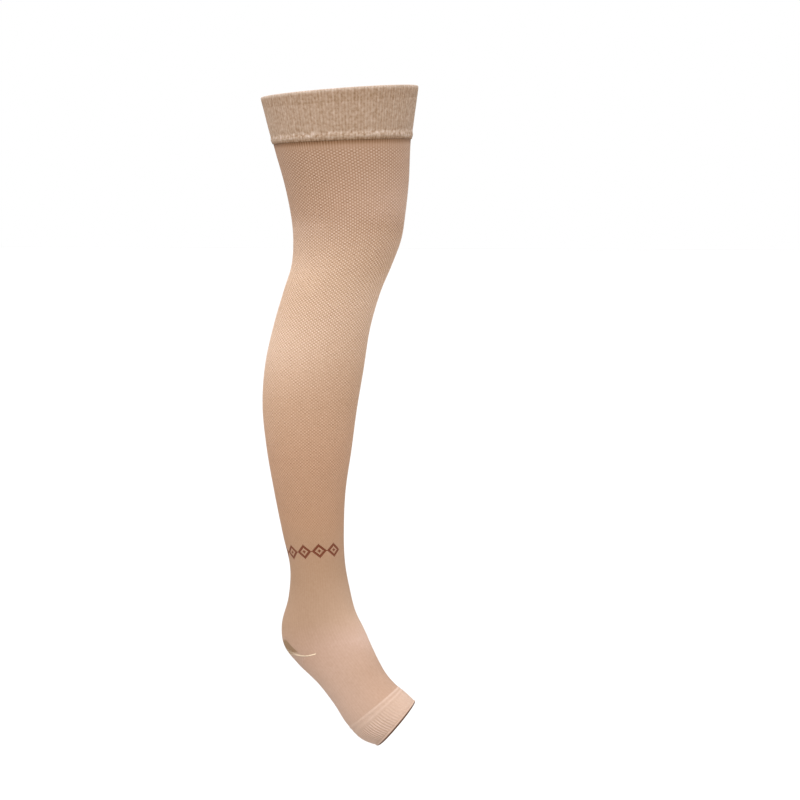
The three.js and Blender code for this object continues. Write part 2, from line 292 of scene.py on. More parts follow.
def wall(name, place, out, turns, material, closed=True, flat_rows=()):
    """A knitted wall from loops of points down its outside and back up its inside.

    place and out have a row for each loop and a column for each turn, and the last loop joins
    the first. A closed wall joins its last column to its first, and an open one gets side faces
    between the outer and the inner loops, which are then equally many. turns has one more entry
    than there are columns on a closed wall. The strips that follow flat_rows are shaded flat.
    """
    rows, columns = place.shape
    points = cloth_point(place, np.broadcast_to(turns[:columns], place.shape), out)
    r = np.arange(rows)[:, None]
    c = np.arange(columns if closed else columns - 1)[None]
    r2, c2 = (r + 1) % rows, (c + 1) % columns
    corners = [(r, c, c), (r2, c, c), (r2, c2, c + 1), (r, c2, c + 1)]
    quads = np.stack([np.broadcast_to(a * columns + b, (rows, c.size)) for a, b, _ in corners], axis=-1)
    lengths = length_at(place) * MM
    us = np.stack([np.broadcast_to(turns[k], (rows, c.size)) for _, _, k in corners], axis=-1)
    vs = np.stack([np.broadcast_to(lengths[a, b], (rows, c.size)) for a, b, _ in corners], axis=-1)
    smooth_faces = np.ones((rows, c.size), bool)
    smooth_faces[list(flat_rows)] = False
    quads, uvs = quads.reshape(-1, 4), np.stack((us, vs), axis=-1).reshape(-1, 4, 2)
    smooth_faces = smooth_faces.ravel()
    if not closed:
        half = rows // 2
        k = np.arange(half - 1)
        inner = rows - 1 - k
        left = np.stack((k, inner, inner - 1, k + 1), axis=-1) * columns
        right = np.stack((k, k + 1, inner - 1, inner), axis=-1) * columns + columns - 1
        sides = np.concatenate((left, right))
        side_uvs = np.stack((turns[sides % columns], lengths.ravel()[sides]), axis=-1)
        quads, uvs = np.concatenate((quads, sides)), np.concatenate((uvs, side_uvs))
        smooth_faces = np.concatenate((smooth_faces, np.zeros(len(sides), bool)))
    return mesh_object(name, points, quads, uvs, smooth_faces, material)


def dress(piece, node):
    """Rides on the one body and replaces its node."""
    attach(piece, "root")
    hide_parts(node)


def add(tree, kind, inputs=None, **settings):
    """Adds a node, sets it up, and fills each named input with a value or a link."""
    made = tree.nodes.new(kind)
    for name, value in settings.items():
        setattr(made, name, value)
    for name, value in (inputs or {}).items():
        if isinstance(value, bpy.types.NodeSocket):
            tree.links.new(value, made.inputs[name])
        else:
            made.inputs[name].default_value = value
    return made


def calculate(tree, operation, first, second=0.0, third=0.0):
    """The result of one arithmetic node."""
    inputs = {0: first, 1: second, 2: third}
    return add(tree, "ShaderNodeMath", inputs, operation=operation).outputs[0]


def product(tree, first, second):
    return calculate(tree, "MULTIPLY", first, second)


def between(tree, value, low, high):
    """0 below low, 1 above high and smooth between, or the other way round if low is higher."""
    inputs = {"Value": value, "From Min": low, "From Max": high}
    return add(tree, "ShaderNodeMapRange", inputs, interpolation_type="SMOOTHSTEP").outputs[0]


def blend_colours(tree, factor, first, second, blend_type="MIX"):
    inputs = {"Factor": factor, "A": first, "B": second}
    made = add(tree, "ShaderNodeMix", data_type="RGBA", blend_type=blend_type)
    for socket in made.inputs:
        if socket.name in inputs and (socket.type == "RGBA" or socket.identifier == "Factor_Float"):
            value = inputs[socket.name]
            if isinstance(value, bpy.types.NodeSocket):
                tree.links.new(value, socket)
            else:
                socket.default_value = value
    return next(o for o in made.outputs if o.type == "RGBA")


def knit_counts(tree):
    """Where a point lies in the knit: wales round the tube, and metres of cloth from the top."""
    knit_map = add(tree, "ShaderNodeUVMap", uv_map="knit").outputs[0]
    split = add(tree, "ShaderNodeSeparateXYZ", {0: knit_map})
    wales = product(tree, split.outputs[0], float(sizes().wales))
    return wales, split.outputs[1]


def front_share(tree, wales):
    """1 at the front of the leg and 0 at the back, as the square of a raised cosine."""
    around = cosine_of(tree, wales, float(sizes().wales))
    return calculate(tree, "POWER", calculate(tree, "MULTIPLY_ADD", around, 0.5, 0.5), 2.0)


def stitch_height(tree, wales, down, course):
    """Height of plain stitches, 0 to 1: in each wale two legs of yarn lean together downwards."""
    column = calculate(tree, "FRACT", wales)
    from_middle = calculate(tree, "ABSOLUTE", calculate(tree, "SUBTRACT", column, 0.5))
    row = calculate(tree, "FRACT", calculate(tree, "DIVIDE", down, course))
    leg = calculate(tree, "MULTIPLY_ADD", row, -0.2, 0.36)
    off_leg = calculate(tree, "ABSOLUTE", calculate(tree, "SUBTRACT", from_middle, leg))
    return between(tree, off_leg, 0.2, 0.02)


def dot_height(tree, wales, down, course):
    """Height of the bird's eye dots, -1 to 1: every second wale, staggered every course."""
    across = calculate(tree, "COSINE", product(tree, wales, math.pi))
    row = product(tree, down, math.pi / course)
    return product(tree, across, calculate(tree, "COSINE", row))


def tone_ramp(tree, down, stops):
    """A colour that changes along the cloth. stops are pairs of a place and a colour."""
    reach = LENGTHS[-1] * MM
    ramp = add(tree, "ShaderNodeValToRGB", {0: calculate(tree, "DIVIDE", down, reach)})
    elements = ramp.color_ramp.elements
    for k, (place, colour) in enumerate(stops):
        at = float(length_at(place) * MM / reach)
        element = elements[k] if k < 2 else elements.new(at)
        element.position = at
        element.color = (*colour, 1)
    return ramp.outputs[0]


def noise_at(tree, size, detail=2.0):
    """Soft noise, 0 to 1 about the middle, whose patches are size metres across."""
    where = add(tree, "ShaderNodeTexCoord").outputs["Object"]
    inputs = {"Vector": where, "Scale": 1 / size, "Detail": detail}
    return add(tree, "ShaderNodeTexNoise", inputs).outputs[0]


def bell(tree, value, centre, width):
    """1 at the centre, fading smoothly to 0 at width to either side."""
    off = calculate(tree, "ABSOLUTE", calculate(tree, "SUBTRACT", value, centre))
    return between(tree, off, width, 0.0)


def shade(tree, colour, parts, patches=0.03, grain=0.1):
    """The colour made lighter or darker by the sum of its parts, each a mask and its amount.

    Uneven dye adds soft patches of 25 mm, and uneven stitches add a grain of 3 mm. The sum is
    raised to a power of its own for each channel.
    """
    total = 1 - patches - grain
    noises = [(noise_at(tree, 0.025), 2 * patches), (noise_at(tree, 0.003), 2 * grain)]
    for mask, amount in (*parts, *noises):
        total = calculate(tree, "MULTIPLY_ADD", mask, amount, total)
    channels = {k: calculate(tree, "POWER", total, power) for k, power in enumerate(RICHER)}
    tint = add(tree, "ShaderNodeCombineColor", channels).outputs[0]
    return blend_colours(tree, 1.0, colour, tint, "MULTIPLY")


def new_material(name):
    material = bpy.data.materials.new(name)
    material.use_nodes = True
    material.node_tree.nodes.clear()
    return material, material.node_tree


def finish_knit(tree, colour, height, depth):
    """The surface of elastane yarn covered with nylon: matt, with a faint sheen at the rim."""
    bump = add(tree, "ShaderNodeBump", {"Height": height, "Distance": depth, "Strength": 1.0})
    surface = add(
        tree,
        "ShaderNodeBsdfPrincipled",
        {
            "Base Color": colour,
            "Roughness": 0.72,
            "IOR": 1.53,
            "Specular IOR Level": 0.15,
            "Sheen Weight": 0.03,
            "Sheen Roughness": 0.5,
            "Normal": bump.outputs[0],
        },
    )
    add(tree, "ShaderNodeOutputMaterial", {"Surface": surface.outputs[0]})


def cosine_of(tree, wales, period):
    """A cosine round the tube that repeats after so many wales."""
    return calculate(tree, "COSINE", product(tree, wales, TAU / period))


def welt_knit():
    """Doubled rib of covered elastane: painted highlights on the fold on top and on the roll, the hem's
    line inside, and a painted shadow under the roll.
    """
    material, tree = new_material("welt rib nylon elastane")
    wales, down = knit_counts(tree)
    seam = float(length_at(WELT_SEAM)) * MM
    blotches = calculate(tree, "SUBTRACT", noise_at(tree, 0.0035, 3.0), 0.5)
    near_side = calculate(tree, "MULTIPLY_ADD", wales, TAU / sizes().wales, -0.78 * TAU)
    hem_line = calculate(tree, "MULTIPLY_ADD", calculate(tree, "COSINE", near_side), 0.0025, 0.0125)
    over_hem = calculate(tree, "SUBTRACT", hem_line, down)
    above_hem = between(tree, over_hem, -0.001, 0.002)
    roll = bell(tree, down, seam - 0.0072, 0.006)
    parts = [
        (product(tree, cosine_of(tree, wales, 1), noise_at(tree, 0.006)), 0.18),
        (product(tree, cosine_of(tree, wales, 2), noise_at(tree, 0.01)), 0.05),
        (blotches, 1.2),
        # painted highlight along the fold on top
        (bell(tree, down, 0.0, 0.005), 0.5),
        (product(tree, above_hem, between(tree, down, 0.0015, 0.004)), -0.1),
        (product(tree, bell(tree, over_hem, 0.0, 0.002), noise_at(tree, 0.02)), -0.2),
        # painted highlight on the raised roll, with bright speckles
        (roll, 0.2),
        (product(tree, roll, blotches), 1.5),
        # painted shadow under the roll, along the seam
        (bell(tree, down, seam - 0.0002, 0.004), -0.4),
    ]
    tone = shade(tree, (*colours().welt, 1), parts)
    stitches = stitch_height(tree, product(tree, wales, 2.0), down, sizes().course_height)
    height = calculate(tree, "ADD", stitches, blotches)
    finish_knit(tree, tone, height, 0.0003)
    return material


def leg_knit(name):
    """Bird's eye knit: pale dots on a darker net, which fade into plain fine wales at the ankle.

    The dots stand on the wales, which show as upright ridges. The yarn is one colour; its tones along
    the leg and round it are partly the stretch of the knit and partly painted light and shade, and a
    painted shadow darkens the top of the leg under the band's roll.
    """
    material, tree = new_material(name)
    wales, down = knit_counts(tree)
    s, c = sizes(), colours()
    tone = tone_ramp(tree, down, [(place, getattr(c, name)) for name, place in TONE_PLACES.items()])
    starts = float(length_at(WELT_SEAM)) * MM
    calf, shank = (float(length_at(place)) * MM for place in (8, 10))
    fades = [float(length_at(place)) * MM for place in DOTS_FADE]
    below_band = between(tree, down, starts + 0.006, starts + 0.014)
    dotted = product(tree, below_band, between(tree, down, fades[1], fades[0]))
    dots = product(tree, dot_height(tree, wales, down, s.dot_course), dotted)
    uneven = calculate(tree, "MULTIPLY_ADD", noise_at(tree, 0.004), 2.4, -0.7)
    uneven_dots = product(tree, dots, calculate(tree, "MAXIMUM", uneven, 0.1))
    on_thigh = between(tree, down, calf, calf - 0.06)
    over_shank = between(tree, down, shank + 0.04, shank)
    on_foot = between(tree, down, fades[0], fades[1])
    ridges = product(tree, cosine_of(tree, wales, 1), noise_at(tree, 0.012))
    double_ridges = product(tree, cosine_of(tree, wales, 2), noise_at(tree, 0.015))
    front = calculate(tree, "SUBTRACT", front_share(tree, wales), 0.45)
    front_stops = [(place, (0.5 + lighter,) * 3) for place, lighter in FRONT_STRETCH_AND_PAINTED_LIGHT]
    front_stretch_and_painted_light = calculate(tree, "SUBTRACT", tone_ramp(tree, down, front_stops), 0.5)
    parts = [
        # painted light and shade round the leg, partly stretch: the front set paler or duller than the
        # back, place by place
        (product(tree, front, front_stretch_and_painted_light), 1.0),
        (product(tree, uneven_dots, on_thigh), 0.05),
        (uneven_dots, 0.56),
        (product(tree, calculate(tree, "MAXIMUM", dots, 0.0), on_thigh), 0.22),
        (ridges, 0.04),
        (product(tree, ridges, over_shank), 0.12),
        (product(tree, ridges, on_thigh), 0.12),
        (product(tree, double_ridges, on_foot), 0.04),
        # painted shadow under the band's roll, on the first millimetres of the leg
        (bell(tree, down, starts + 0.001, 0.0065), -0.5),
    ]
    tone = shade(tree, tone, parts)
    tone = blend_colours(tree, motif(tree, wales, down), tone, (*c.motif, 1))
    stitches = stitch_height(tree, wales, down, s.course_height)
    height = calculate(tree, "MULTIPLY_ADD", dots, 0.5, stitches)
    finish_knit(tree, tone, height, 0.00022)
    return material


def motif(tree, wales, down):
    """A row of stepped lozenges knitted in brown on the inner side above the ankle.

    Wales and courses are counted in whole numbers, so the edges step as knitted ones do. A
    stitch is brown where its counts from the middle of its lozenge add up to a middling sum.
    """
    s = sizes()
    first = s.motif_from * s.wales
    last = first + s.lozenges * s.motif_repeat
    middle = float(length_at(s.motif_place)) * MM
    column = calculate(tree, "FLOOR", calculate(tree, "SUBTRACT", wales, first))
    courses = calculate(tree, "DIVIDE", calculate(tree, "SUBTRACT", down, middle), s.motif_course)
    in_repeat = calculate(tree, "FLOORED_MODULO", column, float(s.motif_repeat))
    off = calculate(tree, "ABSOLUTE", calculate(tree, "SUBTRACT", in_repeat, (s.motif_repeat - 1) / 2))
    up = calculate(tree, "ABSOLUTE", calculate(tree, "FLOOR", courses))
    total = calculate(tree, "ADD", off, up)
    outline = calculate(tree, "COMPARE", total, 5.0, 1.1)
    heart = calculate(tree, "LESS_THAN", total, 1.2)
    drawn = calculate(tree, "MAXIMUM", outline, heart)
    inside = calculate(tree, "COMPARE", wales, (first + last) / 2, (last - first) / 2)
    return product(tree, drawn, inside)


def heel_knit():
    """Close plain knit of the heel pocket: brown over the suture, paler and dotted under it.

    The attribute pocket runs from 0 at the upper seam to 1 at the lower one. Near both seams the
    knit takes the tone of the cloth beside it, and the upper seam itself is dark.
    """
    material, tree = new_material("heel pocket nylon knit")
    wales, down = knit_counts(tree)
    s, c = sizes(), colours()
    pocket = add(tree, "ShaderNodeAttribute", attribute_name="pocket").outputs["Fac"]
    suture = float(length_at(HEEL_TONES_MEET)) * MM
    lower = between(tree, down, suture - 0.002, suture + 0.003)
    base = blend_colours(tree, lower, (*c.heel, 1), (*c.heel_pale, 1))
    upper_rim, lower_rim = between(tree, pocket, 0.14, 0.02), between(tree, pocket, 0.7, 0.97)
    beside = calculate(tree, "MAXIMUM", upper_rim, lower_rim)
    base = blend_colours(tree, beside, base, (*c.heel_side, 1))
    dots = product(tree, dot_height(tree, wales, down, s.dot_course * 0.7), lower)
    parts = [
        (product(tree, dots, noise_at(tree, 0.004)), 0.4),
        (beside, -0.03),
        (bell(tree, pocket, 0.0, 0.09), -0.22),
    ]
    tone = shade(tree, base, parts)
    stitches = stitch_height(tree, wales, down, s.course_height)
    finish_knit(tree, tone, stitches, 0.00025)
    return material


def toe_knit():
    """Ribbed toe band in pink beige, with painted highlights on its two ridges, painted shade below
    them and in a fine groove, and a dark brown line at the edge, partly a thread and partly painted
    shadow.

    The ridge highlights fade towards the sole, the ribs towards the top of the foot, and the sole side
    is darkened by painted shade.
    """
    material, tree = new_material("toe rib nylon elastane")
    wales, down = knit_counts(tree)
    c = colours()
    start, end = length_at(TOE_SEAM) * MM, length_at(TOE_EDGE) * MM
    share = calculate(tree, "DIVIDE", calculate(tree, "SUBTRACT", down, start), end - start)
    ribbed = product(tree, between(tree, share, 0.25, 0.4), between(tree, share, 0.9, 0.85))
    front = front_share(tree, wales)
    ribbed = product(tree, ribbed, between(tree, front, 0.6, 0.05))
    # painted highlights on the two ridges and painted shade below each, strongest on top of the foot
    painted_ridge_light_and_groove_shade = [(0.05, 0.05, 0.12), (0.13, 0.05, -0.1), (0.21, 0.05, 0.09), (0.29, 0.06, -0.07)]
    painted_ridge_light_and_groove_shade = [(product(tree, bell(tree, share, at, wide), front), k) for at, wide, k in painted_ridge_light_and_groove_shade]
    parts = [
        (product(tree, cosine_of(tree, wales, 2), ribbed), 0.2),
        # painted shade on the sole side of the band
        (between(tree, front, 0.2, 0.0), -0.05),
        *painted_ridge_light_and_groove_shade,
        # painted shade in the fine groove before the hem
        (bell(tree, share, 0.88, 0.03), -0.08),
    ]
    tone = shade(tree, (*c.toe, 1), parts)
    # dark brown line at the toe edge: partly a brown edge thread, partly painted shadow of the gap
    # under the hem
    thread_and_shadow = between(tree, down, end - 0.0024, end - 0.0012)
    tone = blend_colours(tree, thread_and_shadow, tone, (*c.edge, 1))
    stitches = stitch_height(tree, wales, down, sizes().course_height)
    finish_knit(tree, tone, stitches, 0.00022)
    return material


def suture_yarn():
    """Pale yarn of the heel suture: twisted nylon, a little brighter than the knit."""
    material, tree = new_material("pale suture yarn")
    tone = shade(tree, (*colours().suture, 1), [], grain=0.15)
    finish_knit(tree, tone, noise_at(tree, 0.001), 0.0002)
    return material


class StockingSizes(bpy.types.PropertyGroup):
    """Sizes of the knit. The tube's own form comes from its rings."""

    cloth: FloatProperty(
        name="Cloth", description="Thickness of one layer", default=0.0012, unit="LENGTH"
    )
    seam_gap: FloatProperty(
        name="Seam gap", description="Gap between joined zones", default=0.04 * MM, unit="LENGTH"
    )
    wales: IntProperty(name="Wales", description="Columns of stitches round the tube", default=144)
    dot_course: FloatProperty(
        name="Dot course", description="Height between rows of dots", default=0.00185, unit="LENGTH"
    )
    dot_relief: FloatProperty(
        name="Dot relief", description="How far a dot stands out", default=0.22 * MM, unit="LENGTH"
    )
    wale_relief: FloatProperty(
        name="Wale relief", description="How far a wale stands out", default=0.07 * MM, unit="LENGTH"
    )
    course_height: FloatProperty(
        name="Course", description="Height of a stitch, drawn large", default=0.0013, unit="LENGTH"
    )
    band_length: FloatProperty(
        name="Band", description="Depth of the thigh band", default=0.061, unit="LENGTH"
    )
    rib_relief: FloatProperty(
        name="Rib relief", description="Half the depth of a rib", default=0.35 * MM, unit="LENGTH"
    )
    motif_place: FloatProperty(
        name="Motif place", description="Middle of the motif, in rings", default=12.5
    )
    motif_from: FloatProperty(
        name="Motif from", description="Where the motif starts, in turns", default=0.51
    )
    lozenges: IntProperty(name="Lozenges", description="How many lozenges the motif has", default=5)
    motif_repeat: IntProperty(name="Motif repeat", description="Wales to a lozenge", default=13)
    motif_course: FloatProperty(
        name="Motif course", description="Height of a motif step", default=0.00135, unit="LENGTH"
    )


def colour_property(label, description, code):
    return FloatVectorProperty(
        name=label, description=description, subtype="COLOR", size=3, min=0, max=1, default=linear(code)
    )


class StockingColours(bpy.types.PropertyGroup):
    """Colours of the yarns, kept linear."""

    welt: colour_property("Welt", "Dull beige of the doubled band", "A28872")
    # The tones from the thigh to the foot are partly the knit's own and partly painted light and shade
    # along the leg.
    thigh: colour_property("Thigh", "Beige under the band", "977861")
    above_knee: colour_property("Above the knee", "Beige of the lower thigh", "A2826B")
    knee: colour_property("Knee", "Light beige of the stretched knit", "B9997F")
    calf: colour_property("Calf", "Light beige of the stretched knit", "BA9B83")
    low_calf: colour_property("Low calf", "Beige of the low calf", "AE8C72")
    shank: colour_property("Shank", "Beige of the shank", "AA856A")
    shin: colour_property("Shin", "Beige of the low shin", "A68165")
    ankle: colour_property("Ankle", "Beige of the ankle", "9F7F65")
    ankle_bones: colour_property("Ankle bones", "Beige over the ankle bones", "A78870")
    heel_side: colour_property("Heel side", "Pink beige beside the heel", "B1927F")
    foot: colour_property("Foot", "Pink beige of the foot", "AF907C")
    heel: colour_property("Heel", "Brown of the upper heel pocket", "896C50")
    heel_pale: colour_property("Pale heel", "Lower heel pocket", "AA8E7B")
    toe: colour_property("Toe", "Pink beige of the toe band", "B89C8A")
    # Colour of the dark line at the toe edge, partly a thread and partly painted shadow.
    edge: colour_property("Edge thread", "Brown thread of the toe edge", "5E4332")
    suture: colour_property("Suture", "Pale yarn of the heel suture", "EBD9BC")
    motif: colour_property("Motif", "Brown yarn of the lozenges", "6A3622")


class StockingStage(bpy.types.PropertyGroup):
    """The camera and light of the picture."""

    azimuth: FloatProperty(
        name="Azimuth", description="Camera's way round", default=math.radians(20), subtype="ANGLE"
    )
    elevation: FloatProperty(
        name="Elevation", description="Camera's height", default=math.radians(2.5), subtype="ANGLE"
    )
    distance: FloatProperty(
        name="Distance", description="Camera to stocking", default=5.5, unit="LENGTH"
    )
    aim_right: FloatProperty(
        name="Aim right", description="Aim, right of the origin", default=0.072, unit="LENGTH"
    )
    aim_height: FloatProperty(
        name="Aim height", description="Height of the aim", default=-0.3702, unit="LENGTH"
    )
    view_width: FloatProperty(
        name="View width", description="Width of the picture there", default=0.96, unit="LENGTH"
    )
    floor_height: FloatProperty(
        name="Floor", description="Height of the floor", default=-0.89, unit="LENGTH"
    )
    key_power: FloatProperty(
        name="Key light", description="Power of the soft high light", default=60.0, unit="POWER"
    )
    sky: FloatProperty(name="Sky", description="Even light from all round", default=1.15)
    sky_up: FloatProperty(name="Sky above", description="More light from above", default=1.1)
    sky_front: FloatProperty(
        name="Sky in front", description="More light from the camera's side", default=0.1
    )
    sky_left: FloatProperty(
        name="Sky on the left", description="More light from the left", default=0.04
    )


def sizes():
    return bpy.context.scene.stocking_sizes


def colours():
    return bpy.context.scene.stocking_colours


def even_turns(columns):
    return np.linspace(0, 1, columns + 1)


class STOCKING_OT_thigh_band(bpy.types.Operator):
    """Knits the thigh band: a doubled ribbed welt with a fold on top and a joining roll below"""

    bl_idname = "stocking.thigh_band"
    bl_label = "Thigh band"

    def execute(self, context):
        s = sizes()
        length, cloth = s.band_length / MM, s.cloth / MM
        columns = 6 * s.wales
        turns = even_turns(columns)
        fold = np.array([0.0, 0.25, 0.7, 1.3])
        face = np.concatenate((fold, np.linspace(2.2, 48, 24), np.linspace(48.8, length - 0.35, 18)))
        inside = np.linspace(length, 1.2, 12)
        down = np.concatenate((face, [length], inside))[:, None]
        height = self.face_height(down[: len(face)], length)
        out = np.concatenate((height, [[0.1]], np.full((len(inside), 1), -cloth)))
        ribs = self.rib_share(down[: len(face)], length)
        ribs = np.concatenate((ribs, np.zeros((len(inside) + 1, 1))))
        wale = TAU * s.wales * turns[None, :columns]
        wave = 0.4 * np.cos(wale) + 0.1 * np.cos(wale / 2)
        pucker = self.pucker(turns[None, :columns], down)
        out = out + ribs * (s.rib_relief / MM * wave + pucker)
        end = float(place_at(length_at(WELT_SEAM) - s.seam_gap / MM / 2))
        place = np.broadcast_to(down / length * end, out.shape)
        piece = wall("thigh_band_knit", place, out, turns, welt_knit())
        dress(piece, "thigh_band")
        return {"FINISHED"}

    @staticmethod
    def face_height(down, length):
        """A round fold on top, then bell curves: the hem's line, a dip, and the roll at the seam."""
        fold = np.sqrt(np.clip(1 - (1 - np.clip(down / 1.6, 0, 1)) ** 2, 0, 1))
        roll = 0.9 * np.exp(-(((down - length + 5.2) / 2.9) ** 2))
        dip = -0.2 * np.exp(-(((down - length + 11.5) / 2.5) ** 2))
        fold_line = -0.12 * np.exp(-(((down - 12.5) / 0.9) ** 2))
        return -0.3 + 1.2 * fold + roll + dip + fold_line

    @staticmethod
    def rib_share(down, length):
        """Ribs grow out of the fold, and flatten a little over the roll."""
        return smooth(down / 2.5) * (1 - 0.45 * np.exp(-(((down - length + 4.5) / 4) ** 2)))

    @staticmethod
    def pucker(turn, down):
        """Shallow uneven waves of the welt: three sines round the band."""
        waves = np.sin(TAU * 7 * turn + 0.6) + 0.7 * np.sin(TAU * 11 * turn + down / 22 + 2)
        waves = waves + 0.5 * np.sin(TAU * 23 * turn - down / 15)
        return 0.16 * waves


class STOCKING_OT_leg(bpy.types.Operator):
    """Knits the leg: staggered raised dots down to the ankle, then fine wales to the heel"""

    bl_idname = "stocking.leg"
    bl_label = "Leg"

    def execute(self, context):
        s = sizes()
        columns = 2 * s.wales
        turns = even_turns(columns)
        start = length_at(WELT_SEAM) + s.seam_gap / MM / 2
        course = s.dot_course / MM
        last = int(length_at(DOTS_FADE[1]) / course)
        dotted = np.arange(math.ceil(start / course), last + 1) * course
        plain = np.linspace(dotted[-1] + 4, length_at(ABOVE_HEEL), 22)
        rows = place_at(np.concatenate(([start], dotted, plain)))
        end = beside_seam(heel_top, -1, turns[:columns])
        share = np.linspace(0, 1, 13)[1:, None]
        lower = ABOVE_HEEL + (end[None] - ABOVE_HEEL) * share
        outside = np.concatenate((np.repeat(rows[:, None], columns, 1), lower))
        inside_lower = lower[::-3]
        inside_rows = place_at(np.linspace(length_at(ABOVE_HEEL), start, 24))
        inside = np.concatenate((inside_lower, np.repeat(inside_rows[:, None], columns, 1)))
        place = np.concatenate((outside, inside))
        relief = self.relief(outside, turns[None, :columns])
        out = np.concatenate((relief, np.full(inside.shape, -s.cloth / MM)))
        flat_rows = (len(outside) - 1, len(place) - 1)
        material = leg_knit("bird's eye nylon elastane knit")
        piece = wall("leg_knit", place, out, turns, material, flat_rows=flat_rows)
        dress(piece, "leg_tube")
        return {"FINISHED"}

    @staticmethod
    def relief(place, turn):
        """Dots as the product of a cosine round the tube and one along it, on ridges one wale wide."""
        s = sizes()
        length = length_at(place)
        start = length_at(WELT_SEAM)
        fade = smooth((DOTS_FADE[1] - place) / (DOTS_FADE[1] - DOTS_FADE[0]))
        share = smooth((length - start - 6) / 8) * fade
        dots = np.cos(math.pi * s.wales * turn) * np.cos(math.pi * length * MM / s.dot_course)
        ends = smooth((length - start - 1) / 4) * smooth((ABOVE_HEEL - place) / 2)
        ridges = np.cos(TAU * s.wales * turn) * ends
        return (share * dots * s.dot_relief + ridges * s.wale_relief) / MM


class STOCKING_OT_heel(bpy.types.Operator):
    """Knits the heel pocket, a lens on the back of the tube, and sews its two sutures"""

    bl_idname = "stocking.heel"
    bl_label = "Heel pocket"

    def execute(self, context):
        s = sizes()
        turns = np.linspace(0.5 - HEEL_SIDE, 0.5 + HEEL_SIDE, 97)
        top, bottom = beside_seam(heel_top, 1, turns), beside_seam(heel_bottom, -1, turns)
        share = np.linspace(0, 1, 45)[:, None]
        outside = top + (bottom - top) * share
        place = np.concatenate((outside, outside[::-1]))
        out = np.concatenate((np.zeros(outside.shape), np.full(outside.shape, -s.cloth / MM)))
        flat_rows = (len(outside) - 1, len(place) - 1)
        piece = wall("heel_knit", place, out, turns, heel_knit(), closed=False, flat_rows=flat_rows)
        pocket = piece.data.attributes.new("pocket", "FLOAT", "POINT")
        pocket.data.foreach_set("value", np.repeat(np.concatenate((share, share[::-1])), len(turns)))
        dress(piece, "heel_pocket")
        self.sutures()
        return {"FINISHED"}

    def sutures(self):
        """Short thick stitches on each side, which fan out from one row to three towards the back.

        The place falls and rises with the turn by the cubic of smooth, and each further row by
        the same cubic from where it starts.
        """
        points = []
        for side in (-1, 1):
            for climb, starts, first, last in SUTURE_ROWS:
                along = np.linspace(starts, 1, SUTURE_STITCHES)
                size = first + (last - first) * np.linspace(0, 1, SUTURE_STITCHES)
                off = SUTURE_TURNS[0] + (SUTURE_TURNS[1] - SUTURE_TURNS[0]) * along
                turn = 0.5 + side * off
                rise = SUTURE_RISE * smooth((0.19 - off) / 0.15)
                place = SUTURE_PLACE - rise - climb * smooth((along - starts) / (1 - starts))
                out = np.full(turn.shape, SUTURE_OFF)
                centre = cloth_point(place, turn, out)
                ahead = cloth_point(place + 0.001, turn + side * 0.002, out) - centre
                outward = cloth_point(place, turn, out + 1) - centre
                points.append(self.beads(centre, ahead, outward, SUTURE_LEAN * side, size))
        grid = np.concatenate(points)
        count, rings, around = grid.shape[:3]
        r, c = np.arange(rings - 1)[:, None], np.arange(around)[None]
        c2 = (c + 1) % around
        corners = [(r, c), (r + 1, c), (r + 1, c2), (r, c2)]
        quad = [np.broadcast_to(a * around + b, (rings - 1, around)) for a, b in corners]
        quad = np.stack(quad, axis=-1).reshape(-1, 4)
        quads = (quad[None] + (np.arange(count) * rings * around)[:, None, None]).reshape(-1, 4)
        uvs = np.zeros((len(quads), 4, 2))
        piece = mesh_object("heel_sutures", grid, quads, uvs, np.ones(len(quads), bool), suture_yarn())
        tidy_mesh(piece.data)
        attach(piece, "root")

    @staticmethod
    def beads(centre, ahead, outward, lean, size):
        """Stretched round beads: rings of points from one tip to the other of each stitch.

        A point is the centre plus the cosine of its polar angle along the stitch, and the sine
        times the cosine and the sine of its turn across it and outwards.
        """
        normal, forward = unit(outward), unit(ahead)
        sideways = unit(np.cross(normal, forward))
        along = forward * math.cos(lean) + sideways * math.sin(lean)
        across = sideways * math.cos(lean) - forward * math.sin(lean)
        polar = np.linspace(0, math.pi, 9)[:, None]
        turn = np.linspace(0, TAU, 10, endpoint=False)
        length, width, height = (half * MM for half in BEAD)
        x = np.cos(polar) * np.ones(turn.shape) * length
        y = np.sin(polar) * np.cos(turn) * width
        z = np.sin(polar) * np.sin(turn) * height
        terms = [(x, along), (y, across), (z, normal)]
        offset = sum(k[None, ..., None] * v[:, None, None] for k, v in terms)
        return centre[:, None, None] + size[:, None, None, None] * offset


def unit(vectors):
    return vectors / np.linalg.norm(vectors, axis=-1, keepdims=True)


def tidy_mesh(mesh):
    """Merges the tips of the beads and turns every face outwards."""
    work = bmesh.new()
    work.from_mesh(mesh)
    bmesh.ops.remove_doubles(work, verts=work.verts, dist=1e-6)
    bmesh.ops.recalc_face_normals(work, faces=work.faces)
    work.to_mesh(mesh)
    work.free()


class STOCKING_OT_foot(bpy.types.Operator):
    """Knits the foot, a plain tube from the heel to the toe band"""

    bl_idname = "stocking.foot"
    bl_label = "Foot"

    def execute(self, context):
        s = sizes()
        columns = 2 * s.wales
        turns = even_turns(columns)
        start = beside_seam(heel_bottom, 1, turns[:columns])
        share = np.linspace(0, 1, 12)[:-1, None]
        upper = start[None] + (BELOW_HEEL - start[None]) * share
        end = float(place_at(length_at(TOE_SEAM) - s.seam_gap / MM / 2))
        rows = np.repeat(np.linspace(BELOW_HEEL, end, 40)[:, None], columns, 1)
        outside = np.concatenate((upper, rows))
        inside = np.concatenate((rows[::-3], upper[::-2]))
        inside[-1] = outside[0]
        inside[0] = outside[-1]
        place = np.concatenate((outside, inside))
        out = np.concatenate((np.zeros(outside.shape), np.full(inside.shape, -s.cloth / MM)))
        flat_rows = (len(outside) - 1, len(place) - 1)
        material = leg_knit("foot plain nylon elastane knit")
        piece = wall("foot_knit", place, out, turns, material, flat_rows=flat_rows)
        dress(piece, "foot_tube")
        return {"FINISHED"}


